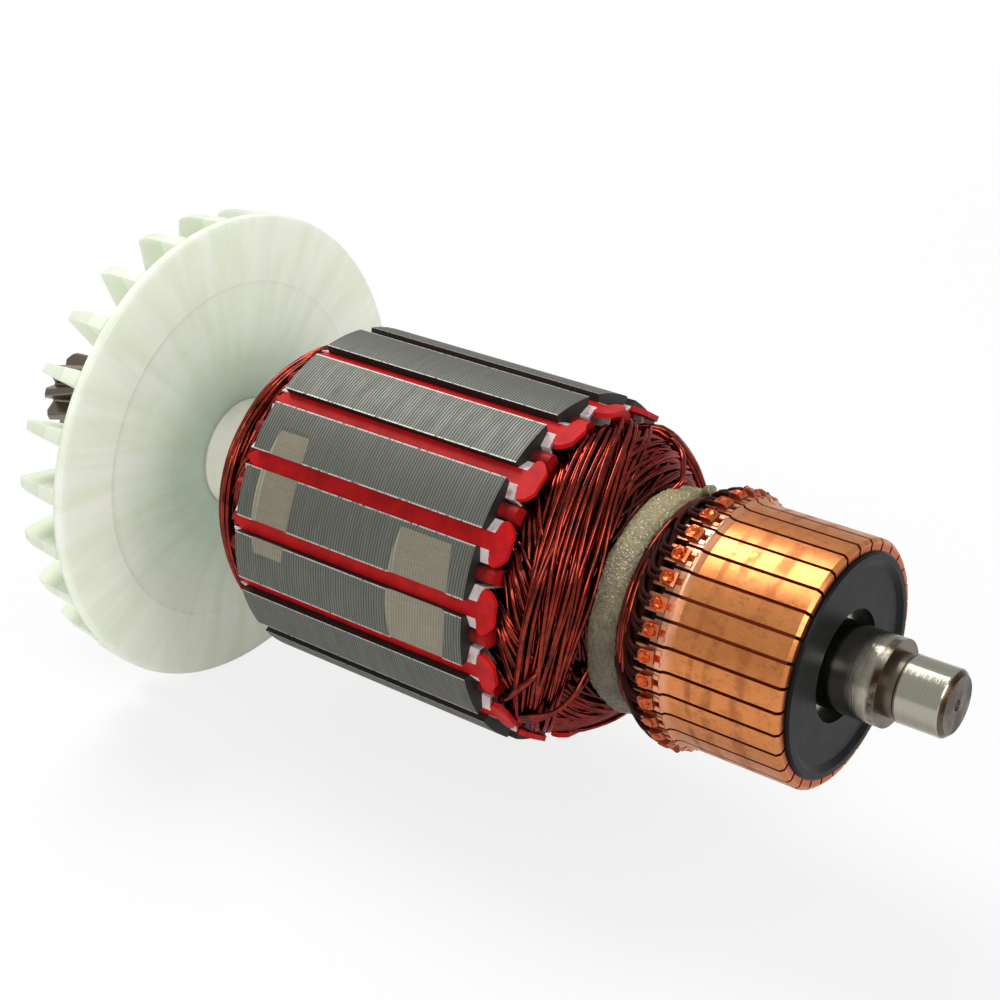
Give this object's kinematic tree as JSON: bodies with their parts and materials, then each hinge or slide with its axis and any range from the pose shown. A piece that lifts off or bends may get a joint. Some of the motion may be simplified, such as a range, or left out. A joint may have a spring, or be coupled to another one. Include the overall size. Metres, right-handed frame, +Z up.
{
  "type": "motor armature",
  "caption": "Wound armature of a large hand-tool motor: shaft with helical pinion, nylon fan, slotted laminated core, copper winding and hook-riser commutator.",
  "frame": {"origin": "middle of the ground commutator-end bearing seat, on the shaft's axis", "axes": "+X along the shaft towards the commutator-end shaft tip, +Z up through the middle of one core tooth, +Y completes the right-handed frame"},
  "size_m": [0.1763, 0.0816, 0.0816],
  "materials": {
    "ground_steel": "ground",
    "cream_tube": "satin",
    "nylon": "satin, slightly translucent",
    "laminations": "ground sheet edges",
    "red_fibre": "resin-soaked",
    "slot_paper": "matte",
    "enamelled_copper": "enamel gloss",
    "lead_copper": "enamel gloss",
    "glass_cord": "resin-soaked",
    "phenolic": "satin",
    "bush_steel": "turned",
    "wedge_fibre": "satin",
    "bar_copper": "turned copper"
  },
  "bodies": {
    "root": {"shaft": "ground_steel", "sleeve": "cream_tube", "fan": "nylon", "core": "laminations", "front_star": "red_fibre", "rear_star": "red_fibre", "slot_liners": "slot_paper", "winding": "enamelled_copper", "leads": "lead_copper", "binding": "glass_cord", "commutator_body": "phenolic", "commutator_bush": "bush_steel", "wedge_01": "wedge_fibre", "wedge_02": "wedge_fibre", "wedge_03": "wedge_fibre", "wedge_04": "wedge_fibre", "wedge_05": "wedge_fibre", "wedge_06": "wedge_fibre", "wedge_07": "wedge_fibre", "wedge_08": "wedge_fibre", "wedge_09": "wedge_fibre", "wedge_10": "wedge_fibre", "wedge_11": "wedge_fibre", "wedge_12": "wedge_fibre", "wedge_13": "wedge_fibre", "wedge_14": "wedge_fibre", "wedge_15": "wedge_fibre", "wedge_16": "wedge_fibre", "bar_01": "bar_copper", "bar_02": "bar_copper", "bar_03": "bar_copper", "bar_04": "bar_copper", "bar_05": "bar_copper", "bar_06": "bar_copper", "bar_07": "bar_copper", "bar_08": "bar_copper", "bar_09": "bar_copper", "bar_10": "bar_copper", "bar_11": "bar_copper", "bar_12": "bar_copper", "bar_13": "bar_copper", "bar_14": "bar_copper", "bar_15": "bar_copper", "bar_16": "bar_copper", "bar_17": "bar_copper", "bar_18": "bar_copper", "bar_19": "bar_copper", "bar_20": "bar_copper", "bar_21": "bar_copper", "bar_22": "bar_copper", "bar_23": "bar_copper", "bar_24": "bar_copper", "bar_25": "bar_copper", "bar_26": "bar_copper", "bar_27": "bar_copper", "bar_28": "bar_copper", "bar_29": "bar_copper", "bar_30": "bar_copper", "bar_31": "bar_copper", "bar_32": "bar_copper"}
  },
  "joints": []
}
